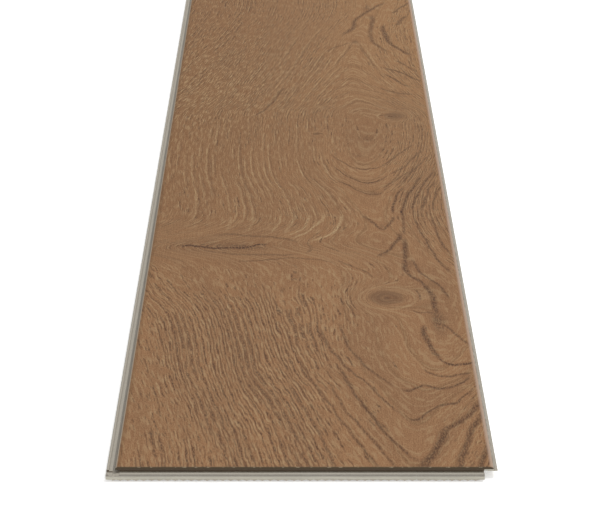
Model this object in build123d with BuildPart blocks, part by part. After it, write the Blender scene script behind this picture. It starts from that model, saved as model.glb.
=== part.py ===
"""Rigid-core vinyl floor plank with click joints milled on its four sides, in millimetres.

The plank lies face up: X across it, Y along it and Z up. The groove side is at -X, the tongue
side at +X, the groove end at -Y and the hook end at +Y. The origin is the centre of the face
that one plank covers, dropped to the underside that rests on the floor.
"""

import os

from build123d import *

# Face that one laid plank covers, from joint plane to joint plane
face_width = 180.0
face_length = 1220.0

# Layers, from the top down
film_thickness = 0.6
core_thickness = 3.4
underlay_thickness = 1.0

# Painted bevel round the face
bevel_width = 1.0
bevel_depth = 0.5

# Play between two joined planks
clearance = 0.1

# Long joint: reaches go out from the joint plane, levels go down from the face
tongue_reach = 2.0
tongue_level = 1.2
tongue_thickness = 0.7
tongue_nose = 0.3
side_lip_reach = 4.4
side_ridge_width = 0.9
side_ridge_height = 0.6
side_ridge_flank = 0.3
dust_channel_inset = 0.4
dust_channel_width = 1.5
dust_channel_depth = 0.45
dust_channel_slope = 0.5

# End joint, measured the same way
end_lip_reach = 4.3
end_ridge_width = 1.85
end_ridge_level = 1.5
end_ridge_chamfer = 0.75
end_ridge_flank = 0.15
hook_height = 1.0
nose_reach = 0.6
nose_level = 1.4
nose_height = 0.9
nose_slope = 0.25

# Edges left by the cutters
tool_radius = 0.15
lip_edge_chamfer = 0.3

# Foam underlay, held back from the edges of the core's underside
underlay_setback_groove_side = 3.0
underlay_setback_tongue_side = 2.3
underlay_setback_groove_end = 1.0
underlay_setback_hook_end = 2.3

# Stock that the cutters take off all round the sawn board
saw_allowance = 1.0

# Heights above the floor
core_bottom = underlay_thickness
core_top = core_bottom + core_thickness
face_top = core_top + film_thickness

# Levels below the face that the two halves of each joint share
underside_level = film_thickness + core_thickness
tongue_bottom_level = tongue_level + tongue_thickness
lip_level = tongue_bottom_level + clearance
side_ridge_level = lip_level - side_ridge_height
hook_level = end_ridge_level + hook_height
end_channel_level = hook_level + clearance
side_undercut = side_lip_reach + clearance
end_undercut = end_lip_reach + clearance

# Inner foot of each ridge, which the matching hook stops short of
side_ridge_foot = side_lip_reach - lip_edge_chamfer - side_ridge_width - side_ridge_flank
end_ridge_foot = end_lip_reach - end_ridge_chamfer - end_ridge_width - end_ridge_flank

# Reach and level at which a waste outline is clear of the sawn board
clear_above = film_thickness - saw_allowance
clear_below = underside_level + saw_allowance


def joint_plane(outward, distance):
    """Plane across a joint: X points out of the plank, Y up, with its origin in the face."""
    return Plane(
        origin=outward * distance + Vector(0, 0, face_top),
        x_dir=outward,
        z_dir=outward.cross(Vector(0, 0, 1)),
    )


def waste_beyond(profile, lip_reach):
    """Close an outline round everything outside a joint profile, out past the sawn board."""
    clear_reach = lip_reach + 2 * saw_allowance
    return profile + [
        (profile[-1][0], clear_below, 0),
        (clear_reach, clear_below, 0),
        (clear_reach, clear_above, 0),
        (profile[0][0], clear_above, 0),
    ]


# Profiles run from the face to the underside as (reach, level, corner radius)
groove_side = [
    (0, film_thickness, 0),
    (0, tongue_level - clearance, tool_radius),
    (-tongue_reach - clearance, tongue_level - clearance, tool_radius),
    (-tongue_reach - clearance, lip_level, tool_radius),
    (-dust_channel_inset, lip_level, 0),
    (-dust_channel_inset, lip_level + dust_channel_depth, tool_radius),
    (dust_channel_width - dust_channel_slope, lip_level + dust_channel_depth, tool_radius),
    (dust_channel_width, lip_level, tool_radius),
    (side_ridge_foot, lip_level, tool_radius),
    (side_ridge_foot + side_ridge_flank, side_ridge_level, tool_radius),
    (side_lip_reach - lip_edge_chamfer, side_ridge_level, 0),
    (side_lip_reach, side_ridge_level + lip_edge_chamfer, 0),
    (side_lip_reach, underside_level - lip_edge_chamfer, 0),
    (side_lip_reach - lip_edge_chamfer, underside_level, 0),
]
tongue_side = [
    (0, film_thickness, 0),
    (0, tongue_level, tool_radius),
    (tongue_reach - tongue_nose, tongue_level, tool_radius),
    (tongue_reach, tongue_level + tongue_nose, tool_radius),
    (tongue_reach, tongue_bottom_level, tool_radius),
    (-side_ridge_foot + clearance, tongue_bottom_level, 0),
    (-side_ridge_foot - side_ridge_flank + clearance, side_ridge_level - clearance, tool_radius),
    (-side_undercut, side_ridge_level - clearance, tool_radius),
    (-side_undercut, underside_level, 0),
]
groove_end = [
    (0, film_thickness, 0),
    (0, nose_level - clearance, 0),
    (-nose_reach - clearance, nose_level - clearance, tool_radius),
    (-nose_reach - clearance, end_channel_level, tool_radius),
    (end_ridge_foot, end_channel_level, tool_radius),
    (end_ridge_foot + end_ridge_flank, end_ridge_level, tool_radius),
    (end_lip_reach - end_ridge_chamfer, end_ridge_level, tool_radius),
    (end_lip_reach, end_ridge_level + end_ridge_chamfer, tool_radius),
    (end_lip_reach, underside_level, 0),
]
hook_end = [
    (0, film_thickness, 0),
    (0, nose_level, 0),
    (nose_reach, nose_level + nose_slope, tool_radius),
    (nose_reach, nose_level + nose_height - nose_slope, tool_radius),
    (0, nose_level + nose_height, 0),
    (-tool_radius, hook_level, tool_radius),
    (-end_ridge_foot + clearance, hook_level, tool_radius),
    (-end_ridge_foot - end_ridge_flank + clearance, end_ridge_level - clearance, tool_radius),
    (-end_undercut, end_ridge_level - clearance, tool_radius),
    (-end_undercut, underside_level, 0),
]

# Each cutter runs the whole length of its side, from the middle out both ways
side_run = face_length / 2 + end_lip_reach + 2 * saw_allowance
end_run = face_width / 2 + side_lip_reach + 2 * saw_allowance
passes = [
    (Vector(-1, 0, 0), face_width / 2, side_run, waste_beyond(groove_side, side_lip_reach)),
    (Vector(1, 0, 0), face_width / 2, side_run, waste_beyond(tongue_side, tongue_reach)),
    (Vector(0, -1, 0), face_length / 2, end_run, waste_beyond(groove_end, end_lip_reach)),
    (Vector(0, 1, 0), face_length / 2, end_run, waste_beyond(hook_end, nose_reach)),
]

# Core: a sawn board with a click profile milled along each side
with BuildPart() as rigid_core:
    with BuildSketch(Plane.XY.offset(core_bottom)) as sawn_board:
        with Locations(((tongue_reach - side_lip_reach) / 2, (nose_reach - end_lip_reach) / 2)):
            Rectangle(
                side_lip_reach + face_width + tongue_reach + 2 * saw_allowance,
                end_lip_reach + face_length + nose_reach + 2 * saw_allowance,
            )
    extrude(amount=core_thickness)

    for outward, distance, run, outline in passes:
        with BuildSketch(joint_plane(outward, distance)):
            with BuildLine():
                FilletPolyline(
                    *[(reach, -level) for reach, level, radius in outline],
                    radius=[radius for reach, level, radius in outline],
                    close=True,
                )
            make_face()
        extrude(amount=run, both=True, mode=Mode.SUBTRACT)

    # Corner notches: each lip stops where the other joint's undercut begins, and the tongue
    # stops at the end joint, so that four planks can meet at a corner
    with BuildSketch(Plane.XY.offset(core_bottom)) as corner_notches:
        with Locations((face_width / 2 - side_undercut, -face_length / 2)):
            Rectangle(side_undercut + tongue_reach + saw_allowance, end_lip_reach + saw_allowance,
                      align=(Align.MIN, Align.MAX))
        with Locations((-face_width / 2, face_length / 2 - end_undercut)):
            Rectangle(side_lip_reach + saw_allowance, end_undercut + nose_reach + saw_allowance,
                      align=(Align.MAX, Align.MIN))
        with Locations((face_width / 2, face_length / 2)):
            Rectangle(tongue_reach + saw_allowance, nose_reach + saw_allowance,
                      align=(Align.MIN, Align.MIN))
    extrude(amount=core_thickness, mode=Mode.SUBTRACT)
rigid_core.part.label = "rigid_core"

# Printed film with its wear layer, laminated on the core and bevelled round its edge
with BuildPart() as decor_face:
    with BuildSketch(Plane.XY.offset(core_top)):
        Rectangle(face_width, face_length)
    extrude(amount=film_thickness)
    walking_face = decor_face.faces().sort_by(Axis.Z)[-1]
    chamfer(walking_face.edges(), length=bevel_width, length2=bevel_depth,
            reference=walking_face)
decor_face.part.label = "decor_face"

# Foam underlay, glued under the core inside the edges of its underside
underlay_left = -face_width / 2 - side_lip_reach + underlay_setback_groove_side
underlay_right = face_width / 2 - side_undercut - underlay_setback_tongue_side
underlay_front = -face_length / 2 - end_lip_reach + underlay_setback_groove_end
underlay_back = face_length / 2 - end_undercut - underlay_setback_hook_end
with BuildPart() as foam_underlay:
    with BuildSketch(Plane.XY):
        with Locations((underlay_left, underlay_front)):
            Rectangle(underlay_right - underlay_left, underlay_back - underlay_front,
                      align=(Align.MIN, Align.MIN))
    extrude(amount=underlay_thickness)
foam_underlay.part.label = "foam_underlay"

os.makedirs("parts", exist_ok=True)
for piece in (rigid_core.part, decor_face.part, foam_underlay.part):
    export_step(piece, f"parts/{piece.label}.step")
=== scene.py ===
"""Vinyl floor plank with click joints: finishes, underlay relief, studio and camera."""

import math

import bmesh
import bpy
from mathutils import Matrix, Vector


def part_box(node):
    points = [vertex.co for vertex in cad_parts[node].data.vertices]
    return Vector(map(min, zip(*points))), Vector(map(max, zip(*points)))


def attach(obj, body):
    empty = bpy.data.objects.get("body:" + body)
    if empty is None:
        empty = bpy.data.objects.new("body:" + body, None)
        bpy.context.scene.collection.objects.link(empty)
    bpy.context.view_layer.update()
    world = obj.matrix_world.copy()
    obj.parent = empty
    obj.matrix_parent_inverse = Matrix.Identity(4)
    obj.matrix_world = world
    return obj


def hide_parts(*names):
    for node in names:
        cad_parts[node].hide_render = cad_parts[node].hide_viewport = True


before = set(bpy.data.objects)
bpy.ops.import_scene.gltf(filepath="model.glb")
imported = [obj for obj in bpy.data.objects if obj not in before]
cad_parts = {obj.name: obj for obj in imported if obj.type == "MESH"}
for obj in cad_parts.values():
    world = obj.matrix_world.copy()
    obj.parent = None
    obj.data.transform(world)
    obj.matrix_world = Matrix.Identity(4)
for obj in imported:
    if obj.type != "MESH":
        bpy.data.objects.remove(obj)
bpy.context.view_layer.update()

# One millimetre in metres
MM = 0.001

# Boxes of the pieces in the frame, in metres
film_low, film_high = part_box("decor_face")
pad_low, pad_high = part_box("foam_underlay")

# Flat face inside the bevels, in millimetres
bevel_width = 1.0
flat_width = (film_high.x - film_low.x) / MM - 2 * bevel_width
flat_length = (film_high.y - film_low.y) / MM - 2 * bevel_width
half_flat = flat_width / 2
half_length = flat_length / 2 + bevel_width

# On the core, in millimetres: the root of the tongue, the near side of the notch beside it, and
# the level down to which the paint of the end bevels has run
tongue_root = film_high.x / MM
notch_left = 85.5
paint_overrun = 1.7
paint_low = film_low.z / MM - paint_overrun

# Studs of the underlay, in metres
stud_spacing = 3.75 * MM
stud_height = 0.45 * MM

# Kinds of node that most of the trees use
MATH = "ShaderNodeMath"
VECTOR = "ShaderNodeVectorMath"
NOISE = "ShaderNodeTexNoise"
RANGE = "ShaderNodeMapRange"
MIX = "ShaderNodeMix"
SEPARATE = "ShaderNodeSeparateXYZ"
COMBINE = "ShaderNodeCombineXYZ"

# A smooth step stays inside its range by itself, and a clamp would only cost the shader room
SMOOTH = {"interpolation_type": "SMOOTHSTEP", "clamp": False}

# A mix of two colours: input 0 is the share of the second, 6 the first and 7 the second
COLOURS = {"data_type": "RGBA", "out": 2}

# The print is laid out in millimetres from the front left corner of the flat face, and its
# curves hold their values as shares of this many millimetres
curve_scale = 100.0

# Heart line of the grain along the board: (from front, from left)
heart_line = [(0, 142), (60, 148), (110, 160), (200, 169), (300, 138), (400, 130), (500, 134),
              (600, 126), (700, 130), (790, 145), (860, 150), (1218, 140)]

# How wide the rings are rounded at the heart, the place across that they are counted from, and
# how far to the left of the heart they take to run straight
heart_width = 8.0
heart_level = 135.0
heart_swing = 95.0

# How high the grain stands at the heart line, in millimetres: (from front, height)
heart_heights = [(0, -4), (50, 9), (86, 21), (112, 33), (170, 42), (260, 43), (308, 46),
                 (370, 57), (391, 69), (417, 81), (480, 92), (515, 92), (550, 76), (585, 58),
                 (615, 45), (645, 34), (705, 22), (790, 12), (860, 28), (940, 52), (1000, 60),
                 (1218, 33)]

# How far the rise at the heart line reaches to either side
heart_reach = 85.0

# How high the grain stands along the left edge: (from front, height)
edge_heights = [(0, 0), (60, 0), (120, 2), (300, 2), (480, 4), (520, 2), (560, -11),
                (600, -24), (665, -40), (740, -53), (820, -63), (1218, -68)]

# Other humps that the saw cut through: (from left, from front, reaches across, front, back, lift)
grain_humps = [
    (-20, 200, 120, 150, 50, 30),
    (0, 268, 75, 55, 22, 45),
    (0, 288, 108, 20, 24, 48),
    (136, 204, 15, 15, 15, 34),
    (154, 525, 9, 9, 9, 20),
    (99, 487, 4, 4, 4, 8),
]

# Crowded and sparse pores: (from left, from front, reaches across, front, back, strength)
pore_crowds = [
    (58, 110, 48, 150, 105, 1.35),
    (66, 135, 36, 55, 40, 0.8),
    (42, 186, 44, 50, 34, 1.0),
    (0, 115, 14, 70, 60, -1.3),
    (164, 400, 22, 75, 80, 1.7),
    (140, 470, 22, 30, 30, 0.5),
    (40, 410, 95, 90, 85, -1.1),
    (30, 620, 80, 100, 260, 0.3),
    (148, 120, 34, 80, 150, -1.3),
    (124, 60, 20, 90, 70, -0.8),
    (72, 262, 66, 42, 34, -1.6),
    (172, 180, 18, 30, 30, -1.5),
]

# Places where the rings show as bands: (from left, from front, reaches across, front, back, strength)
band_places = [
    (50, 400, 85, 110, 110, 1.0),
    (95, 620, 70, 110, 160, 0.75),
]

# Places where no late wood shows: (from left, from front, reaches across, front, back, strength)
quiet_places = [
    (172, 186, 16, 34, 26, 1.0),
    (130, 490, 34, 42, 75, 0.9),
    (132, 735, 30, 50, 70, 0.7),
]

# Where the ground is golden, brown and flecked: (from left, from front, reaches across, front, back)
golden_place = (165, 760, 70, 260, 500)
brown_place = (10, 560, 110, 330, 600)
flecked_place = (22, 575, 72, 75, 120)

# Dark stains: (from left, from front, half width, half length, turn in degrees, strength)
dark_stains = [
    (56, 281, 2.6, 10, 76, 0.8),
    (48, 281, 10, 42, 91, 0.36),
    (50, 140, 13, 32, 10, 0.16),
    (60, 92, 9, 26, 8, 0.16),
    (24, 150, 8, 30, 12, 0.12),
    (163, 172, 3.4, 15, 3, 0.95),
    (137, 270, 2.6, 3.5, 0, 0.6),
    (134, 371, 3.2, 3.2, 0, 0.7),
    (127, 442, 2.4, 3.0, 0, 0.5),
    (134, 477, 3.4, 3.4, 0, 0.45),
    (131, 478, 9, 14, 0, 0.16),
    (135, 478, 20, 34, 0, 0.16),
    (142, 532, 34, 42, 0, 0.20),
    (154, 525, 5.5, 6.5, 0, 0.5),
    (138, 313, 2.4, 6, 0, 0.45),
    (151, 256, 1.8, 7, 0, 0.45),
    (48, 339, 1.8, 2.6, 0, 0.5),
    (130, 705, 3.0, 4.5, 0, 0.65),
    (143, 800, 3.4, 8, -10, 0.6),
]

# Dark lines of the figure: (half width, strength, places as (from left, from front))
dark_lines = [
    (1.0, 0.65, [(97, 168), (102, 140), (110, 116), (120, 95), (128, 76), (136, 60), (142, 52)]),
    (1.5, 0.7, [(139, 57), (143, 51), (147, 52), (152, 59), (158, 67), (165, 69), (171, 78),
                (178, 90)]),
    (2.6, 0.75, [(143, -8), (147, 4), (152, 16), (156, 28), (159, 40), (166, 48), (172, 57),
                 (180, 76)]),
    (2.0, 0.7, [(162, -10), (164, 4), (166, 17), (169, 29), (172, 41), (177, 54), (182, 68)]),
    (1.8, 0.7, [(172, -8), (174, 5), (177, 16), (182, 32)]),
    (1.0, 0.6, [(108, 172), (112, 146), (117, 125), (126, 105), (134, 91), (139, 85)]),
    (1.5, 0.75, [(137, 86), (143, 84), (151, 90), (155, 87), (161, 86), (168, 91), (178, 104)]),
    (1.3, 0.65, [(150, 113), (156, 104), (164, 101), (170, 103), (178, 105)]),
    (1.6, 0.75, [(155, 168), (155, 148), (157, 135), (161, 121)]),
    (1.6, 0.85, [(158, 126), (162, 119), (168, 115), (173, 116), (179, 119)]),
    (1.4, 0.60, [(163, 170), (170, 158), (174, 148), (178, 140)]),
    (1.1, 0.7, [(147, 0), (137, 18), (130, 34), (124, 52), (118, 70), (111, 96), (107, 118)]),
    (1.0, 0.6, [(101, 96), (105, 80), (110, 61), (117, 42), (125, 20), (132, 2), (135, -8)]),
    (1.0, 0.6, [(84, 130), (89, 113), (95, 90), (101, 71), (108, 48), (116, 24), (123, 2), (126, -10)]),
    (1.0, 0.6, [(80, 96), (85, 78), (92, 52), (97, 33), (101, 12), (104, -10)]),
    (1.6, 0.75, [(163, 172), (162.5, 196), (161, 214), (156, 227), (150, 239), (148, 252), (150, 276),
                 (148, 302)]),
    (1.0, 0.55, [(149, 187), (154, 183), (159, 184), (163, 178)]),
    (1.0, 0.65, [(155, 200), (155, 208), (152, 216)]),
    (1.5, 0.75, [(148, 306), (146, 294), (143, 285), (140, 275), (135, 269), (133, 262)]),
    (0.9, 0.60, [(151, 344), (151, 322), (150, 298)]),
    (1.3, 0.70, [(126, 334), (131, 322), (138, 307)]),
    (1.2, 0.70, [(138, 307), (142, 318), (145, 332)]),
    (0.9, 0.7, [(158, 332), (160, 306), (164, 282), (169, 258), (175, 236)]),
    (0.9, 0.7, [(168, 334), (170, 306), (172, 286), (177, 264)]),
    (0.9, 0.65, [(152, 264), (158, 240), (166, 222), (171, 200)]),
    (1.7, 1.10, [(13, 281), (22, 283), (28, 281), (35, 279), (46, 279), (56, 280), (62, 284),
                 (71, 284)]),
    (1.8, 0.5, [(34, 297), (48, 301), (56, 298), (68, 297), (80, 292), (90, 284)]),
    (1.6, 0.45, [(26, 278), (38, 272), (52, 269), (70, 268), (82, 268), (90, 273)]),
    (1.5, 0.40, [(90, 270), (94, 278), (90, 288)]),
    (1.1, 0.45, [(48, 257), (66, 260), (86, 263), (98, 260), (110, 253)]),
    (1.1, 0.45, [(108, 262), (116, 252), (124, 243), (130, 232)]),
    (1.2, 0.80, [(107, 430), (112, 416), (117, 405), (123, 396), (129, 391), (134, 391), (140, 397),
                 (146, 405)]),
    (1.0, 0.7, [(145, 404), (154, 418), (162, 437), (170, 455)]),
    (1.2, 0.65, [(111, 396), (118, 386), (125, 376), (131, 370), (135, 369), (139, 373), (142, 380)]),
    (1.0, 0.65, [(140, 378), (146, 391), (154, 404), (162, 416)]),
    (1.2, 0.7, [(107, 450), (112, 437), (117, 427), (123, 419), (129, 416), (135, 417), (141, 422)]),
    (0.9, 0.35, [(46, 490), (48, 450), (50, 410), (53, 385), (58, 362), (60, 345)]),
    (0.9, 0.30, [(29, 440), (30, 400), (33, 362)]),
    (1.0, 0.65, [(138, 418), (146, 431), (154, 447), (164, 466)]),
    (1.1, 0.85, [(145, 334), (146, 352), (149, 368), (154, 384)]),
    (1.0, 0.80, [(151, 332), (152, 350), (156, 370), (161, 388), (168, 408)]),
    (1.0, 0.80, [(157, 334), (159, 354), (163, 374), (169, 396), (175, 416)]),
    (1.0, 0.75, [(163, 336), (165, 356), (169, 376), (175, 396)]),
    (0.9, 0.70, [(169, 338), (171, 356), (175, 374), (178, 388)]),
    (0.9, 0.65, [(152, 388), (158, 405), (166, 425), (174, 446)]),
    (1.1, 0.65, [(52, 520), (60, 531), (66, 546), (71, 566), (77, 592)]),
    (1.1, 0.30, [(104, 548), (113, 566), (124, 577), (136, 570), (150, 560), (166, 556)]),
    (1.1, 0.30, [(104, 562), (113, 582), (124, 594), (134, 586), (150, 574), (170, 566)]),
    (1.1, 0.30, [(104, 580), (112, 598), (122, 611), (132, 602), (144, 590), (156, 582)]),
    (1.4, 0.8, [(147, 641), (156, 633), (165, 622), (172, 611), (178, 602)]),
    (1.4, 0.8, [(150, 624), (156, 612), (161, 600), (168, 590)]),
    (1.5, 0.65, [(146, 588), (154, 580), (162, 575), (170, 574)]),
    (1.3, 0.6, [(160, 658), (168, 641), (175, 626)]),
    (2.1, 0.70, [(118, 720), (126, 733), (131, 746), (132, 764), (137, 778), (143, 790), (150, 803),
                 (160, 820)]),
    (1.9, 0.60, [(143, 786), (146, 774), (145, 752), (143, 728), (145, 704), (151, 686), (160, 671)]),
    (1.9, 0.80, [(155, 756), (154, 735), (156, 711), (160, 695), (167, 680), (174, 664)]),
    (1.6, 0.7, [(178, 818), (170, 802), (162, 783)]),
    (1.6, 0.7, [(173, 778), (168, 764), (165, 750)]),
    (1.2, 0.55, [(129, 704), (122, 697), (114, 688), (109, 676)]),
]

# Pale lines of the figure, given in the same way
pale_lines = [
    (1.3, 0.75, [(113, 336), (112, 319), (108, 306), (101, 296), (91, 286)]),
    (1.1, 0.70, [(102, 336), (99, 320), (93, 307), (86, 298), (80, 292)]),
    (1.0, 0.60, [(94, 336), (91, 317), (85, 304), (77, 296)]),
    (1.0, 0.50, [(85, 336), (82, 317), (77, 303)]),
    (0.9, 0.45, [(76, 336), (74, 318), (70, 303)]),
    (0.9, 0.35, [(59, 332), (58, 318), (55, 304)]),
    (0.9, 0.35, [(45, 332), (45, 318), (43, 306)]),
    (0.9, 0.40, [(98, 266), (110, 252), (122, 241), (130, 228)]),
    (0.9, 0.35, [(88, 256), (100, 247), (108, 234), (112, 214), (116, 186)]),
    (0.9, 0.30, [(72, 252), (84, 244), (94, 232), (102, 212), (108, 188)]),
    (0.9, 0.35, [(4, 256), (14, 242), (24, 231), (32, 222)]),
    (0.9, 0.35, [(2, 244), (12, 230), (22, 218)]),
    (1.0, 0.35, [(108, 548), (117, 563), (126, 570), (140, 564), (156, 556)]),
    (1.0, 0.35, [(106, 566), (115, 584), (125, 588), (138, 580), (152, 568)]),
    (1.0, 0.30, [(96, 590), (106, 612), (116, 626), (126, 630), (136, 622), (146, 608)]),
]

# Knots: (from left, from front, radius)
knots = [
    (136, 204, 11),
    (154, 525, 8),
    (99, 487, 3),
]

# How far stains, drawn lines and knots wobble to either side
wobble_reach = 1.6

# Distance between the rings
ring_spacing = 12.0

# Rows of large pores, fine pores and bands: (spacing, width, length of a dash). Oak's pores are
# about 0.3 mm wide, and are drawn coarse enough to show
large_rows = (3.6, 1.3, 19.0)
fine_rows = (1.7, 0.8, 8.0)
band_rows = (7.0, 2.4, 70.0)


def linear(hex_colour):
    """sRGB hex colour as linear RGBA."""
    channels = [int(hex_colour[i:i + 2], 16) / 255 for i in (1, 3, 5)]
    return [c / 12.92 if c <= 0.04045 else ((c + 0.055) / 1.055) ** 2.4 for c in channels] + [1.0]


def add(tree, kind, *values, named=None, out=0, **settings):
    """Add a node, set it, feed its inputs with values or sockets, and return one output."""
    made = tree.nodes.new(kind)
    for key, value in settings.items():
        setattr(made, key, value)
    feeds = list(enumerate(values)) + list((named or {}).items())
    for key, value in feeds:
        if value is None:
            continue
        if isinstance(value, bpy.types.NodeSocket):
            tree.links.new(value, made.inputs[key])
        else:
            made.inputs[key].default_value = value
    return made.outputs[out]


def new_material(name):
    """Empty node material with its output node."""
    material = bpy.data.materials.new(name)
    material.use_nodes = True
    material.node_tree.nodes.clear()
    return material, material.node_tree


def close_material(tree, shader):
    """Link the finished shader to the surface output."""
    output = tree.nodes.new("ShaderNodeOutputMaterial")
    tree.links.new(shader, output.inputs["Surface"])


def hump(tree, point, x, y, across, front, back):
    """Smooth hump, 1 at its top, with its reaches in millimetres."""
    off = add(tree, VECTOR, point, (x, y, 0), operation="SUBTRACT")
    right_back = add(tree, VECTOR, off, (1 / across, 1 / back, 0), operation="MULTIPLY")
    left_front = add(tree, VECTOR, off, (-1 / across, -1 / front, 0), operation="MULTIPLY")
    spread = add(tree, VECTOR, right_back, left_front, operation="MAXIMUM")
    square = add(tree, VECTOR, spread, spread, operation="DOT_PRODUCT", out=1)
    return add(tree, MATH, math.exp(-1), square, operation="POWER")


def stain(tree, point, x, y, half_width, half_length, turn):
    """Smooth long patch, turned about its middle."""
    local = add(tree, "ShaderNodeMapping", point, (x, y, 0), (0, 0, math.radians(turn)),
                (half_width, half_length, 1), vector_type="TEXTURE")
    flat = add(tree, VECTOR, local, (1, 1, 0), operation="MULTIPLY")
    square = add(tree, VECTOR, flat, flat, operation="DOT_PRODUCT", out=1)
    return add(tree, MATH, math.exp(-1), square, operation="POWER")


def profile(tree, along_share, points, length, scale):
    """Smooth curve through given points along the board."""
    curve = tree.nodes.new("ShaderNodeFloatCurve")
    curve.mapping.use_clip = False
    line = curve.mapping.curves[0].points
    for front, value in points[1:-1]:
        line.new(front / length, value / scale)
    line[0].location = (0, points[0][1] / scale)
    line[len(points) - 1].location = (1, points[-1][1] / scale)
    curve.mapping.update()
    tree.links.new(along_share, curve.inputs["Value"])
    return add(tree, MATH, curve.outputs[0], scale, operation="MULTIPLY")


def total(tree, parts):
    """Sum of weighted masks, given one after another as (mask, weight) pairs."""
    summed = 0.0
    for mask, weight in parts:
        summed = add(tree, MATH, mask, weight, summed, operation="MULTIPLY_ADD")
    return summed


def total_humps(tree, point, table):
    """Sum of a table's humps, each times the last number of its row."""
    return total(tree, ((hump(tree, point, *place_and_reach), weight)
                        for *place_and_reach, weight in table))


def drawn_line(tree, x, y, half_width, places):
    """Soft line through given places, fading out at both ends."""
    (first_x, first_y), (last_x, last_y) = places[0], places[-1]
    if abs(last_y - first_y) > abs(last_x - first_x):
        run, off, points = y, x, sorted((front, left) for left, front in places)
    else:
        run, off, points = x, y, sorted(places)
    first, last = points[0][0], points[-1][0]
    share = add(tree, RANGE, run, first, last, clamp=False)
    middle = profile(tree, share, [(at - first, across) for at, across in points], last - first,
                     curve_scale)
    away = add(tree, MATH, off, middle, operation="SUBTRACT")
    away = add(tree, MATH, away, operation="ABSOLUTE")
    line = add(tree, RANGE, away, 1.5 * half_width, 0.2 * half_width, **SMOOTH)
    from_middle = add(tree, MATH, share, 0.5, operation="SUBTRACT")
    from_middle = add(tree, MATH, from_middle, operation="ABSOLUTE")
    fade = add(tree, RANGE, from_middle, 0.5, 0.36, **SMOOTH)
    return add(tree, MATH, line, fade, operation="MULTIPLY")


def total_lines(tree, x, y, table):
    """Sum of a table's drawn lines, each times its strength."""
    return total(tree, ((drawn_line(tree, x, y, half_width, places), strength)
                        for half_width, strength, places in table))


def knot(tree, point, x, y, radius):
    """Brown disc with its fine rings and dark pith, and the pale ring round it."""
    off = add(tree, VECTOR, point, (x, y, 0), operation="SUBTRACT")
    flat = add(tree, VECTOR, off, (1 / radius, 1 / radius, 0), operation="MULTIPLY")
    reach = add(tree, VECTOR, flat, operation="LENGTH", out=1)
    disc = add(tree, RANGE, reach, 1.1, 0.6, 0.0, 0.55, **SMOOTH)
    ring_step = 0.16
    grown = add(tree, MATH, reach, ring_step, operation="PINGPONG")
    grown = add(tree, RANGE, grown, 0.0, ring_step, 0.72, 1.12)
    disc = add(tree, MATH, disc, grown, operation="MULTIPLY")
    pith = add(tree, RANGE, reach, 0.45, 0.05, 0.0, 0.8, **SMOOTH)
    from_ring = add(tree, MATH, reach, 1.45, operation="SUBTRACT")
    from_ring = add(tree, MATH, from_ring, operation="ABSOLUTE")
    ring = add(tree, RANGE, from_ring, 0.14, 0.02, 0.0, 0.3, **SMOOTH)
    return add(tree, MATH, disc, pith, operation="MAXIMUM"), ring


def streaks(tree, across, along, width, length, low, high, detail=1.0):
    """Dashes along the grain: 0 where there is none and 1 inside one."""
    across_steps = add(tree, MATH, across, width, operation="DIVIDE")
    along_steps = add(tree, MATH, along, length, operation="DIVIDE")
    steps = add(tree, COMBINE, across_steps, along_steps)
    cloud = add(tree, NOISE, steps, named={"Scale": 1.0, "Detail": detail}, noise_dimensions="2D")
    return add(tree, RANGE, cloud, low, high, **SMOOTH)


def pore_rows(tree, across, along, crowding, spacing, width, length):
    """Rows of dashes along the grain, and the lit edge on the left of each dash.

    Each row is broken in its own places; spacing, width and length are in millimetres.
    """
    steps = add(tree, MATH, across, 1 / spacing, operation="MULTIPLY")
    row = add(tree, MATH, steps, operation="FLOOR")
    apart = add(tree, MATH, row, 7.3, operation="MULTIPLY")
    along_steps = add(tree, MATH, along, 1 / length, operation="MULTIPLY")
    place = add(tree, COMBINE, apart, along_steps)
    breaks = add(tree, NOISE, place, named={"Scale": 1.0, "Detail": 2.0, "Roughness": 0.6},
                 noise_dimensions="2D")
    breaks = add(tree, MATH, breaks, crowding, operation="ADD")
    dash = add(tree, RANGE, breaks, 0.47, 0.60, **SMOOTH)
    edge = 0.5 - 0.5 * width / spacing
    inner = 0.5 - 0.2 * width / spacing
    middle = add(tree, MATH, steps, 0.5, operation="PINGPONG")
    dark_line = add(tree, RANGE, middle, edge, inner, **SMOOTH)
    # For the pores, the pale line on the left of each dash is a painted highlight on the embossed pore
    # wall that faces the lamp
    left = add(tree, MATH, steps, width / spacing, operation="ADD")
    left_middle = add(tree, MATH, left, 0.5, operation="PINGPONG")
    lit_line = add(tree, RANGE, left_middle, edge, inner, **SMOOTH)
    dark = add(tree, MATH, dark_line, dash, operation="MULTIPLY")
    lit = add(tree, MATH, lit_line, dash, operation="MULTIPLY")
    return dark, lit


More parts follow.
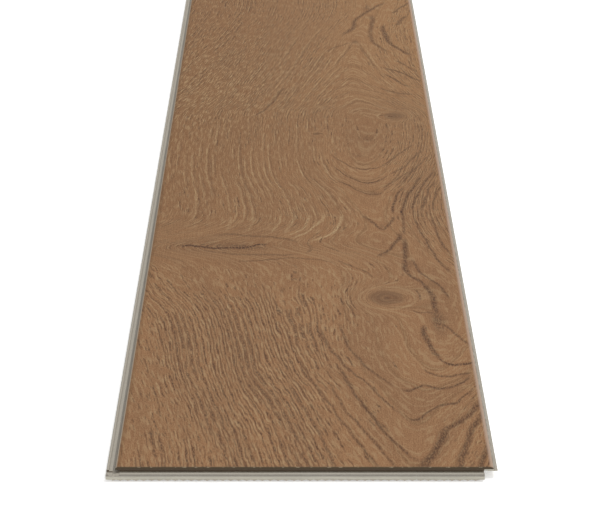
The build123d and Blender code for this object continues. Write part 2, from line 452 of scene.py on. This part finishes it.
def ring_field(tree, point, x, y):
    """Height that the saw cut reaches in the grain, and how far each place is off the heart.

    All are in millimetres: the height, the distance to the right of the heart line, and that
    distance without its sign, rounded at the heart.
    """
    along_share = add(tree, MATH, y, 1 / flat_length, operation="MULTIPLY")
    heart = profile(tree, along_share, heart_line, flat_length, flat_width)
    heart_height = profile(tree, along_share, heart_heights, flat_length, curve_scale)
    off_heart = add(tree, MATH, x, heart, operation="SUBTRACT")
    square = add(tree, MATH, off_heart, off_heart, heart_width ** 2, operation="MULTIPLY_ADD")
    slope = add(tree, MATH, square, operation="SQRT")
    left_share = add(tree, MATH, off_heart, -1 / heart_swing, operation="MULTIPLY", use_clamp=True)
    heart_shift = add(tree, MATH, heart, heart_level, operation="SUBTRACT")
    shift = add(tree, MATH, heart_shift, left_share, heart_level + heart_width,
                operation="MULTIPLY_ADD")
    fall = add(tree, MATH, square, -1 / heart_reach ** 2, operation="MULTIPLY")
    fade = add(tree, MATH, fall, operation="EXPONENT")
    ridge = add(tree, MATH, heart_height, fade, shift, operation="MULTIPLY_ADD")
    edge_height = profile(tree, along_share, edge_heights, flat_length, curve_scale)
    edge_fall = add(tree, MATH, edge_height, left_share, operation="MULTIPLY")
    ridge = add(tree, MATH, ridge, edge_fall, operation="ADD")
    humps = total_humps(tree, point, grain_humps)
    level = add(tree, MATH, ridge, slope, operation="SUBTRACT")
    smooth_rings = add(tree, MATH, level, humps, operation="ADD")

    # Growth is never quite even: the rings wander by a few millimetres
    slow = add(tree, VECTOR, point, (0.022, 0.009, 0), operation="MULTIPLY")
    wander = add(tree, NOISE, slow, named={"Scale": 1.0, "Detail": 3.0, "Roughness": 0.55},
                 noise_dimensions="2D")
    swing = add(tree, RANGE, wander, 0.0, 1.0, -3.0, 3.0)
    rings = add(tree, MATH, smooth_rings, swing, operation="ADD")
    return rings, off_heart, slope


def late_wood_lines(tree, rings):
    """Thin dark line at the end of each ring, softer towards the next."""
    ring_steps = add(tree, MATH, rings, 1 / ring_spacing, operation="MULTIPLY")
    phase = add(tree, MATH, ring_steps, operation="FRACT")
    rise = add(tree, RANGE, phase, 0.0, 0.04, **SMOOTH)
    fall = add(tree, RANGE, phase, 0.24, 0.05, **SMOOTH)
    return add(tree, MATH, rise, fall, operation="MULTIPLY")


def wobbled(tree, point):
    """Places for what is drawn, which wobbles a little, as growth does."""
    waves = add(tree, VECTOR, point, (0.11, 0.06, 0), operation="MULTIPLY")
    wobble = add(tree, NOISE, waves, named={"Scale": 1.0, "Detail": 2.0}, out=1,
                 noise_dimensions="2D")
    unwobbled = add(tree, VECTOR, point, (wobble_reach, wobble_reach, 0), operation="SUBTRACT")
    return add(tree, VECTOR, wobble, (2 * wobble_reach, 2 * wobble_reach, 0), unwobbled,
               operation="MULTIPLY_ADD")


def pore_crowding(tree, point, rings, along, slope, stains):
    """How crowded the pores are: patchy, sparse at the heart and denser in a stain."""
    crowds = total_humps(tree, point, pore_crowds)
    patchy = streaks(tree, rings, along, 13.0, 90.0, 0.35, 0.65)
    crowding = add(tree, MATH, crowds, patchy, operation="ADD")
    crowding = add(tree, RANGE, crowding, -1.0, 1.6, -0.22, 0.10)
    heart_gap = add(tree, RANGE, slope, 8.0, 24.0, -0.25, 0.0)
    crowding = add(tree, MATH, crowding, heart_gap, operation="ADD")
    return add(tree, MATH, stains, 0.35, crowding, operation="MULTIPLY_ADD")


def oak_figure(tree, point, x, y, rings, along, slope):
    """Dark and pale parts of the figure, the lit edges of its pores, and their place across."""
    drawn_at = wobbled(tree, point)
    drawn_x, drawn_y = add(tree, SEPARATE, drawn_at).node.outputs[:2]
    stains = total(tree, ((stain(tree, drawn_at, *place_and_turn), strength)
                          for *place_and_turn, strength in dark_stains))
    dark_drawn = total_lines(tree, drawn_x, drawn_y, dark_lines)
    pale_drawn = total_lines(tree, drawn_x, drawn_y, pale_lines)

    # Pores: broken rows along the grain, crowded in places, and wide pale bands where few are
    crowding = pore_crowding(tree, point, rings, along, slope, stains)
    quick = add(tree, VECTOR, point, (0.45, 0.06, 0), operation="MULTIPLY")
    shiver = add(tree, NOISE, quick, named={"Scale": 1.0, "Detail": 1.0}, noise_dimensions="2D")
    pore_place = add(tree, MATH, shiver, 1.5, rings, operation="MULTIPLY_ADD")
    large_pores, large_highlights = pore_rows(tree, pore_place, along, crowding, *large_rows)
    fine_pores, fine_highlights = pore_rows(tree, pore_place, along, crowding, *fine_rows)
    banded = total_humps(tree, point, band_places)
    banded = add(tree, RANGE, banded, 0.0, 1.0, -0.25, 0.12)
    threads, bands = pore_rows(tree, pore_place, along, banded, *band_rows)

    # All but the finest pores and the knots are ragged, and the strongest mark at a place shows
    fine_share = add(tree, MATH, fine_pores, 0.55, operation="MULTIPLY")
    ragged = streaks(tree, x, y, 0.9, 2.6, 0.38, 0.58)
    ragged_share = add(tree, RANGE, ragged, 0.0, 1.0, 0.25, 0.9)
    drawn_share = add(tree, RANGE, ragged, 0.0, 1.0, 0.5, 1.25)
    thread_share = add(tree, MATH, threads, 0.4, operation="MULTIPLY")
    dark = add(tree, MATH, large_pores, stains, operation="MAXIMUM")
    dark = add(tree, MATH, dark, thread_share, operation="MAXIMUM")
    dark = add(tree, MATH, dark, ragged_share, operation="MULTIPLY")
    dark_drawn = add(tree, MATH, dark_drawn, drawn_share, operation="MULTIPLY")
    dark = add(tree, MATH, dark, dark_drawn, operation="MAXIMUM")
    dark = add(tree, MATH, dark, fine_share, operation="MAXIMUM")
    band_share = add(tree, MATH, bands, 0.45, operation="MULTIPLY")
    pale = add(tree, MATH, pale_drawn, band_share, operation="MAXIMUM")
    pale = add(tree, MATH, pale, drawn_share, operation="MULTIPLY")
    edges = add(tree, MATH, fine_highlights, large_highlights, operation="MAXIMUM")
    edges = add(tree, MATH, edges, ragged_share, operation="MULTIPLY")
    for place_and_radius in knots:
        disc, ring = knot(tree, drawn_at, *place_and_radius)
        dark = add(tree, MATH, dark, disc, operation="MAXIMUM")
        pale = add(tree, MATH, pale, ring, operation="MAXIMUM")
    return dark, pale, edges, pore_place


def oak_ground(tree, point, x, y, rings, along, off_heart):
    """Colour of the wood between its pores: broad tones, late wood, fibres and fine specks."""
    late_wood = late_wood_lines(tree, rings)
    broad = streaks(tree, rings, along, 16.0, 140.0, 0.3, 0.7, detail=3.0)
    fibre = streaks(tree, x, y, 0.7, 14.0, 0.25, 0.75, detail=2.0)
    ground = add(tree, MIX, named={0: broad, 6: linear("#835e45"), 7: linear("#936b4d")}, **COLOURS)
    golden = hump(tree, point, *golden_place)
    ground = add(tree, MIX, named={0: golden, 6: ground, 7: linear("#98704d")}, **COLOURS)
    browner = hump(tree, point, *brown_place)
    browner = add(tree, MATH, browner, 0.85, operation="MULTIPLY")
    ground = add(tree, MIX, named={0: browner, 6: ground, 7: linear("#6e4930")}, **COLOURS)
    arches = add(tree, RANGE, off_heart, -60.0, -15.0, 0.12, 0.5)
    quiet = total_humps(tree, point, quiet_places)
    shown = add(tree, MATH, 1.0, quiet, operation="SUBTRACT", use_clamp=True)
    late_share = add(tree, MATH, late_wood, arches, operation="MULTIPLY")
    late_share = add(tree, MATH, late_share, shown, operation="MULTIPLY")
    ground = add(tree, MIX, named={0: late_share, 6: ground, 7: linear("#664a35")}, **COLOURS)
    fibre_tone = add(tree, MIX, named={0: fibre, 6: linear("#7d5a3b"), 7: linear("#ad8a64")},
                     **COLOURS)
    ground = add(tree, MIX, named={0: 0.25, 6: ground, 7: fibre_tone}, **COLOURS)
    speckle = streaks(tree, x, y, 0.5, 1.5, 0.3, 0.7)
    speckle_tone = add(tree, MIX, named={0: speckle, 6: linear("#6b4b33"), 7: linear("#bd9b74")},
                       **COLOURS)
    return add(tree, MIX, named={0: 0.22, 6: ground, 7: speckle_tone}, **COLOURS)


def film_edges(tree, place, x, y, printed):
    """The print with its long sides and its painted and chipped ends.

    The film runs on over the bevel of the groove side, where it is darkened as painted shade, and over
    the tongue side, where a pale band is a painted highlight of the lamp on that bevel. The ends are
    cut, painted and then rubbed along the edge.
    """
    side, end = add(tree, SEPARATE, place).node.outputs[:2]
    film_edge = add(tree, RANGE, side, -(half_flat + 0.25) * MM, -(half_flat + 0.55) * MM)
    # Painted highlight along the tongue side's edge and bevel, which face the lamp
    tongue_side_highlight = add(tree, RANGE, side, (half_flat - 1.0) * MM, (half_flat + 0.2) * MM)
    # Painted shade towards the groove side's edge and over its bevel, which face away from the lamp
    shaded = add(tree, RANGE, side, -(half_flat - 1.8) * MM, -(half_flat - 0.6) * MM, 0.0, 0.3)
    printed = add(tree, MIX, named={0: shaded, 6: printed, 7: linear("#60462f")}, **COLOURS)
    colour = add(tree, MIX, named={0: tongue_side_highlight, 6: printed, 7: linear("#ac9482")}, **COLOURS)
    colour = add(tree, MIX, named={0: film_edge, 6: colour, 7: linear("#a59685")}, **COLOURS)
    past_middle = add(tree, MATH, end, operation="ABSOLUTE")
    rubbed = add(tree, RANGE, past_middle, (flat_length / 2 - 1.1) * MM,
                 (flat_length / 2 - 0.2) * MM, 0.0, 0.42)
    colour = add(tree, MIX, named={0: rubbed, 6: colour, 7: linear("#66594a")}, **COLOURS)
    painted = add(tree, RANGE, past_middle, (flat_length / 2 - 0.03) * MM,
                  (flat_length / 2 + 0.03) * MM)
    colour = add(tree, MIX, named={0: painted, 6: colour, 7: linear("#54493b")}, **COLOURS)
    from_chip = add(tree, MATH, past_middle, (flat_length / 2 + 0.1) * MM, operation="SUBTRACT")
    from_chip = add(tree, MATH, from_chip, operation="ABSOLUTE")
    chip_line = add(tree, RANGE, from_chip, 0.3 * MM, 0.1 * MM, 0.0, 0.45)
    chips = streaks(tree, x, y, 3.0, 40.0, 0.54, 0.68, detail=2.0)
    chipped = add(tree, MATH, chip_line, chips, operation="MULTIPLY")
    return add(tree, MIX, named={0: chipped, 6: colour, 7: linear("#c4b497")}, **COLOURS)


def oak_print_film():
    """Calendered PVC film printed with oak, under a clear embossed urethane wear layer.

    The print gives flat-sawn oak: arches and rings where the saw crossed a hump in the grain,
    dashes of dark pores along it, three knots and the root of a side branch. The wear layer's
    matting keeps the sheen soft, and its embossing follows the pores.
    """
    material, tree = new_material("oak_print_film")
    place = add(tree, "ShaderNodeTexCoord", out=3)
    point = add(tree, VECTOR, place, (1 / MM,) * 3, (flat_width / 2, flat_length / 2, 0),
                operation="MULTIPLY_ADD")
    x, y = add(tree, SEPARATE, point).node.outputs[:2]
    rings, off_heart, slope = ring_field(tree, point, x, y)

    # A slant across the rows sets the dashes of neighbouring ones apart
    along = add(tree, MATH, x, 0.5, y, operation="MULTIPLY_ADD")
    dark, pale, edges, pore_place = oak_figure(tree, point, x, y, rings, along, slope)
    ground = oak_ground(tree, point, x, y, rings, along, off_heart)

    # Pale marks: flecks of early wood, lit edges of the pores and the figure's own
    flecks = streaks(tree, pore_place, along, 1.2, 10.0, 0.50, 0.68)
    flecky = hump(tree, point, *flecked_place)
    flecky = add(tree, RANGE, flecky, 0.0, 1.0, 0.28, 0.62)
    fleck_share = add(tree, MATH, flecks, flecky, operation="MULTIPLY")
    highlight_and_fleck_share = add(tree, MATH, edges, 0.32, fleck_share, operation="MULTIPLY_ADD")
    pale_share = add(tree, MATH, pale, 0.7, highlight_and_fleck_share, operation="MULTIPLY_ADD", use_clamp=True)
    ground = add(tree, MIX, named={0: pale_share, 6: ground, 7: linear("#b49974")}, **COLOURS)
    dark_share = add(tree, MATH, dark, 0.85, operation="MULTIPLY", use_clamp=True)
    printed = add(tree, MIX, named={0: dark_share, 6: ground, 7: linear("#503a2f")}, **COLOURS)
    colour = film_edges(tree, place, x, y, printed)
    relief = add(tree, RANGE, dark, 0.0, 1.0, 1.0, 0.0)
    embossed = add(tree, "ShaderNodeBump", named={"Strength": 0.6, "Distance": 0.06 * MM,
                                                  "Height": relief})
    shader = add(tree, "ShaderNodeBsdfPrincipled", colour,
                 named={"Roughness": 0.6, "IOR": 1.5, "Specular IOR Level": 0.025,
                        "Normal": embossed})
    close_material(tree, shader)
    return material


def facing_up(tree):
    """How far the surface faces up: 1 straight up, 0 upright and -1 straight down."""
    normal = add(tree, "ShaderNodeNewGeometry", out=1)
    return add(tree, SEPARATE, normal, out=2)


def milled_stone_vinyl():
    """Limestone-filled rigid vinyl, extruded and then milled.

    The cutters leave fine lines along each edge. Slanted faces are painted darker and upright
    faces paler, as painted shade and painted light for how the lamp and the white table light
    them. The paint of the end bevels runs down on to the edge of the core just below, where its
    dark tone is partly painted shade. The filler's grains are finer than the specks here, which
    are drawn coarse enough to show.
    """
    material, tree = new_material("milled_stone_vinyl")
    place = add(tree, "ShaderNodeTexCoord", out=3)
    point = add(tree, VECTOR, place, (1 / MM,) * 3, operation="MULTIPLY")
    x, y, z = add(tree, SEPARATE, point).node.outputs[:3]
    past_middle = add(tree, MATH, y, operation="ABSOLUTE")

    # Cutter lines run along the sides, and across in the last 2 mm before the ends
    at_end = add(tree, RANGE, past_middle, half_length - 2.0, half_length)
    side_lines = add(tree, VECTOR, point, (4.0, 0.05, 4.0), operation="MULTIPLY")
    end_lines = add(tree, VECTOR, point, (0.05, 4.0, 4.0), operation="MULTIPLY")
    lines_place = add(tree, MIX, data_type="VECTOR", out=1,
                      named={0: at_end, 4: side_lines, 5: end_lines})
    lines = add(tree, NOISE, lines_place, named={"Scale": 1.0, "Detail": 2.0})
    speckle_place = add(tree, VECTOR, point, (2.5, 2.5, 2.5), operation="MULTIPLY")
    speckle = add(tree, NOISE, speckle_place, named={"Scale": 1.0, "Detail": 3.0})
    facing = facing_up(tree)
    slanted = add(tree, RANGE, facing, 0.95, 0.8)
    upright = add(tree, RANGE, facing, 0.6, 0.2)
    # Painted shade on slanted faces and painted light on upright faces, for how the lamp and the white
    # table light them
    plain = add(tree, MIX, named={0: slanted, 6: linear("#a8a194"), 7: linear("#979086")}, **COLOURS)
    plain = add(tree, MIX, named={0: upright, 6: plain, 7: linear("#e0dac9")}, **COLOURS)
    line_share = add(tree, RANGE, lines, 0.35, 0.65, 0.0, 0.35)
    speck_share = add(tree, RANGE, speckle, 0.4, 0.7, 0.0, 0.25)
    lined = add(tree, MIX, named={0: line_share, 6: plain, 7: linear("#8a8479")}, **COLOURS)
    grainy = add(tree, MIX, named={0: speck_share, 6: lined, 7: linear("#d6d1c6")}, **COLOURS)

    # Overrun of the paint on the core's upright wall under the end bevels, up to the notch; its dark
    # tone is partly painted shade on that wall
    above_groove = add(tree, RANGE, z, paint_low - 0.05, paint_low)
    at_joint = add(tree, RANGE, past_middle, half_length + 0.1, half_length + 0.05)
    under_face = add(tree, RANGE, x, notch_left + 0.1, notch_left)
    overrun_and_shade = add(tree, MATH, above_groove, at_joint, operation="MULTIPLY")
    overrun_and_shade = add(tree, MATH, overrun_and_shade, under_face, operation="MULTIPLY")
    overrun_and_shade = add(tree, MATH, overrun_and_shade, upright, operation="MULTIPLY")
    colour = add(tree, MIX, named={0: overrun_and_shade, 6: grainy, 7: linear("#6e6052")}, **COLOURS)

    # Dark dashes along the root of the tongue
    root = add(tree, RANGE, x, tongue_root + 1.0, tongue_root + 0.5, 0.0, 0.5)
    at_root = add(tree, MATH, x, tongue_root, operation="GREATER_THAN")
    root_dashes = streaks(tree, x, y, 0.6, 5.0, 0.42, 0.6)
    root_dashes = add(tree, MATH, root_dashes, root, operation="MULTIPLY")
    root_dashes = add(tree, MATH, root_dashes, at_root, operation="MULTIPLY")
    colour = add(tree, MIX, named={0: root_dashes, 6: colour, 7: linear("#77695c")}, **COLOURS)
    relief = add(tree, "ShaderNodeBump", named={"Strength": 0.4, "Distance": 0.03 * MM,
                                                "Height": lines})
    shader = add(tree, "ShaderNodeBsdfPrincipled", colour,
                 named={"Roughness": 0.7, "IOR": 1.5, "Specular IOR Level": 0.2,
                        "Normal": relief})
    close_material(tree, shader)
    return material


def closed_cell_foam():
    """Cross-linked polyethylene foam, embossed between rollers: matte, pinkish, with fine pores.

    The underside is painted a little darker between the studs, as painted shade in the recesses. Its
    cells are drawn about twice as coarse as they are, so that they show.
    """
    material, tree = new_material("closed_cell_foam")
    place = add(tree, "ShaderNodeTexCoord", out=3)
    pores_at = add(tree, VECTOR, place, (3 / MM,) * 3, operation="MULTIPLY")
    pores = add(tree, NOISE, pores_at, named={"Scale": 1.0, "Detail": 2.0})
    tone = add(tree, RANGE, pores, 0.35, 0.65, **SMOOTH)
    colour = add(tree, MIX, named={0: tone, 6: linear("#c4b29f"), 7: linear("#e2d4c3")}, **COLOURS)
    height = add(tree, SEPARATE, place, out=2)
    # Painted shade in the recesses between the studs of the underside
    recess = add(tree, RANGE, height, pad_low.z, pad_low.z + stud_height)
    under = add(tree, RANGE, facing_up(tree), -0.4, -0.8, 0.0, 0.6)
    shade = add(tree, MATH, recess, under, operation="MULTIPLY")
    colour = add(tree, MIX, named={0: shade, 6: colour, 7: linear("#94806c")}, **COLOURS)
    relief = add(tree, "ShaderNodeBump", named={"Strength": 0.3, "Distance": 0.03 * MM,
                                                "Height": pores})
    shader = add(tree, "ShaderNodeBsdfPrincipled", colour,
                 named={"Roughness": 0.85, "IOR": 1.45, "Normal": relief})
    close_material(tree, shader)
    return material


def dress_node(name, material):
    """Give a CAD node its finish."""
    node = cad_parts[name]
    node.data.materials.clear()
    node.data.materials.append(material)


def embossed_sheet():
    """Node tree that makes a closed sheet with staggered studs on its underside."""
    tree = bpy.data.node_groups.new("embossed_sheet", "GeometryNodeTree")
    for name in ("Width", "Length", "Thickness", "Stud Spacing", "Stud Height"):
        tree.interface.new_socket(name, in_out="INPUT", socket_type="NodeSocketFloat")
    tree.interface.new_socket("Place", in_out="INPUT", socket_type="NodeSocketVector")
    tree.interface.new_socket("Foam", in_out="INPUT", socket_type="NodeSocketMaterial")
    tree.interface.new_socket("Sheet", in_out="OUTPUT", socket_type="NodeSocketGeometry")
    width, length, thickness, spacing, rise, place, foam = list(
        tree.nodes.new("NodeGroupInput").outputs)[:7]

    # Underside: a stud on every other corner of a square mesh
    cell = add(tree, MATH, spacing, 0.5, operation="MULTIPLY")
    cells_across = add(tree, MATH, width, cell, operation="DIVIDE")
    cells_along = add(tree, MATH, length, cell, operation="DIVIDE")
    rounded_across = add(tree, MATH, cells_across, operation="ROUND")
    rounded_along = add(tree, MATH, cells_along, operation="ROUND")
    across = add(tree, MATH, rounded_across, 1.0, operation="ADD")
    along = add(tree, MATH, rounded_along, 1.0, operation="ADD")
    underside = add(tree, "GeometryNodeMeshGrid", width, length, across, along)
    position = add(tree, "GeometryNodeInputPosition")
    half_across = add(tree, MATH, width, 0.5, operation="MULTIPLY")
    half_along = add(tree, MATH, length, 0.5, operation="MULTIPLY")
    corner = add(tree, COMBINE, half_across, half_along)
    from_corner = add(tree, VECTOR, position, corner, operation="ADD")
    counts = add(tree, COMBINE, rounded_across, rounded_along)
    sizes = add(tree, COMBINE, width, length, 1.0)
    turns = add(tree, VECTOR, counts, sizes, operation="DIVIDE")
    turns = add(tree, VECTOR, from_corner, turns, operation="MULTIPLY")
    turns = add(tree, VECTOR, turns, (math.pi, math.pi, 0), operation="MULTIPLY")
    waves = add(tree, VECTOR, turns, operation="COSINE")
    wave_across, wave_along = add(tree, SEPARATE, waves).node.outputs[:2]
    studs = add(tree, MATH, wave_across, wave_along, operation="MULTIPLY")
    raised = add(tree, RANGE, studs, 1.0, -1.0, 0.0, rise)
    lift = add(tree, COMBINE, 0.0, 0.0, raised)
    underside = add(tree, "GeometryNodeSetPosition", underside, named={"Offset": lift})

    # Sides, up to a flat top
    neighbours = add(tree, "GeometryNodeInputMeshEdgeNeighbors")
    border = add(tree, "FunctionNodeCompare", data_type="INT", operation="EQUAL",
                 named={2: neighbours, 3: 1})
    walls = add(tree, "GeometryNodeExtrudeMesh", underside, border, mode="EDGES",
                named={"Offset Scale": 0.0})
    rim = walls.node.outputs["Top"]
    top_height = add(tree, COMBINE, 0.0, 0.0, thickness)
    on_top = add(tree, VECTOR, position, (1, 1, 0), top_height, operation="MULTIPLY_ADD")
    walls = add(tree, "GeometryNodeSetPosition", walls, rim, on_top)
    outline = add(tree, "GeometryNodeMeshToCurve", walls, rim)
    top = add(tree, "GeometryNodeFillCurve", outline)
    top = add(tree, "GeometryNodeSetPosition", top, named={"Offset": top_height})
    parts = tree.nodes.new("GeometryNodeJoinGeometry")
    tree.links.new(walls, parts.inputs[0])
    tree.links.new(top, parts.inputs[0])
    sheet = add(tree, "GeometryNodeMergeByDistance", parts.outputs[0], named={"Distance": 0.01 * MM})
    sheet = add(tree, "GeometryNodeTransform", sheet, named={"Translation": place})
    sheet = add(tree, "GeometryNodeRealizeInstances", sheet)
    sheet = add(tree, "GeometryNodeSetMaterial", sheet, named={"Material": foam})
    output = tree.nodes.new("NodeGroupOutput")
    tree.links.new(sheet, output.inputs[0])
    return tree


def corner_height(corner):
    """Height of a mesh corner, for sorting."""
    return corner.co.z


def underlay(foam):
    """Foam underlay with its embossed underside, in the place of the plain sheet."""
    middle = (pad_low + pad_high) / 2
    values = {
        "Width": pad_high.x - pad_low.x,
        "Length": pad_high.y - pad_low.y,
        "Thickness": pad_high.z - pad_low.z,
        "Stud Spacing": stud_spacing,
        "Stud Height": stud_height,
        "Place": (middle.x, middle.y, pad_low.z),
        "Foam": foam,
    }
    piece = bpy.data.objects.new("underlay_sheet", bpy.data.meshes.new("underlay_start"))
    bpy.context.scene.collection.objects.link(piece)
    maker = piece.modifiers.new("embossed_sheet", "NODES")
    maker.node_group = embossed_sheet()
    for item in maker.node_group.interface.items_tree:
        if item.in_out == "INPUT":
            maker[item.identifier] = values[item.name]
    evaluated = piece.evaluated_get(bpy.context.evaluated_depsgraph_get())
    mesh = bpy.data.meshes.new_from_object(evaluated)
    piece.modifiers.remove(maker)
    piece.data = mesh

    # Normals outward; each cell is split between its two raised corners, so that every stud
    # stands by itself, with the facets that an embossing roller leaves
    shell = bmesh.new()
    shell.from_mesh(mesh)
    bmesh.ops.recalc_face_normals(shell, faces=shell.faces)
    for face in list(shell.faces):
        face.smooth = False
        if face.normal.z < -0.5:
            raised = sorted(face.verts, key=corner_height)[2:]
            bmesh.utils.face_split(face, *raised)
    shell.to_mesh(mesh)
    shell.free()
    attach(piece, "root")
    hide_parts("foam_underlay")


def shows_surroundings(tree):
    """1 for rays that reach the camera straight, off gloss or through glass, and 0 for light."""
    camera_ray = add(tree, "ShaderNodeLightPath", out="Is Camera Ray")
    rays = camera_ray.node.outputs
    seen = add(tree, MATH, camera_ray, rays["Is Glossy Ray"], operation="MAXIMUM")
    return add(tree, MATH, seen, rays["Is Transmission Ray"], operation="MAXIMUM")


def white_floor():
    """Matte white table that the plank lies on; the camera sees it white, with its shadow."""
    mesh = bpy.data.meshes.new("floor")
    reach = 6.0
    corners = [(-reach, -reach, 0), (reach, -reach, 0), (reach, reach, 0), (-reach, reach, 0)]
    mesh.from_pydata(corners, [], [(0, 1, 2, 3)])
    floor = bpy.data.objects.new("floor", mesh)
    bpy.context.scene.collection.objects.link(floor)
    material, tree = new_material("white_table")
    diffuse = add(tree, "ShaderNodeBsdfDiffuse", linear("#f6f6f6"))
    lift = add(tree, RANGE, shows_surroundings(tree), 0.0, 1.0, 0.0, 0.45)
    glow = add(tree, "ShaderNodeEmission", linear("#ffffff"), lift)
    shown = add(tree, "ShaderNodeAddShader", diffuse, glow)
    close_material(tree, shown)
    mesh.materials.append(material)


def soft_lamp(name, place, aim, size, power):
    """Square area lamp aimed at a point."""
    data = bpy.data.lights.new(name, "AREA")
    data.shape = "SQUARE"
    data.size = size
    data.energy = power
    lamp = bpy.data.objects.new(name, data)
    lamp.location = place
    lamp.rotation_mode = "QUATERNION"
    lamp.rotation_quaternion = (Vector(aim) - Vector(place)).to_track_quat("-Z", "Y")
    bpy.context.scene.collection.objects.link(lamp)


def studio():
    """Even white surroundings and one large soft lamp behind and to the right."""
    world = bpy.data.worlds.new("studio")
    bpy.context.scene.world = world
    world.use_nodes = True
    world.node_tree.nodes.clear()
    tree = world.node_tree
    strength = add(tree, RANGE, shows_surroundings(tree), 0.0, 1.0, 0.55, 1.0)
    background = add(tree, "ShaderNodeBackground", linear("#ffffff"), strength)
    output = tree.nodes.new("ShaderNodeOutputWorld")
    tree.links.new(background, output.inputs["Surface"])
    soft_lamp("back_lamp", place=(6.5, 5.0, 13.0), aim=(0, 0, 0), size=7.0, power=1300)


# Camera: place and turn worked out from the plank's edges in the photograph, and the lens and
# sensor in millimetres
camera_place = Vector((-4.6, -1540.7, 493.1)) * MM
camera_pitch_down = math.radians(22.22)
camera_yaw_left = math.radians(-0.143)
camera_roll = math.radians(0.068)
camera_lens = 132.0
camera_sensor = 36.0


def photo_camera():
    """Camera that looks down the plank from its front end."""
    data = bpy.data.cameras.new("camera")
    data.lens = camera_lens
    data.sensor_width = camera_sensor
    data.clip_start = 10 * MM
    camera = bpy.data.objects.new("camera", data)
    camera.location = camera_place
    turn = (Matrix.Rotation(camera_yaw_left, 4, "Z")
            @ Matrix.Rotation(math.pi / 2 - camera_pitch_down, 4, "X")
            @ Matrix.Rotation(camera_roll, 4, "Z"))
    camera.rotation_mode = "QUATERNION"
    camera.rotation_quaternion = turn.to_quaternion()
    bpy.context.scene.collection.objects.link(camera)
    bpy.context.scene.camera = camera


dress_node("decor_face", oak_print_film())
dress_node("rigid_core", milled_stone_vinyl())
foam = closed_cell_foam()
dress_node("foam_underlay", foam)
underlay(foam)
white_floor()
studio()
photo_camera()
bpy.context.scene.view_settings.view_transform = "Standard"
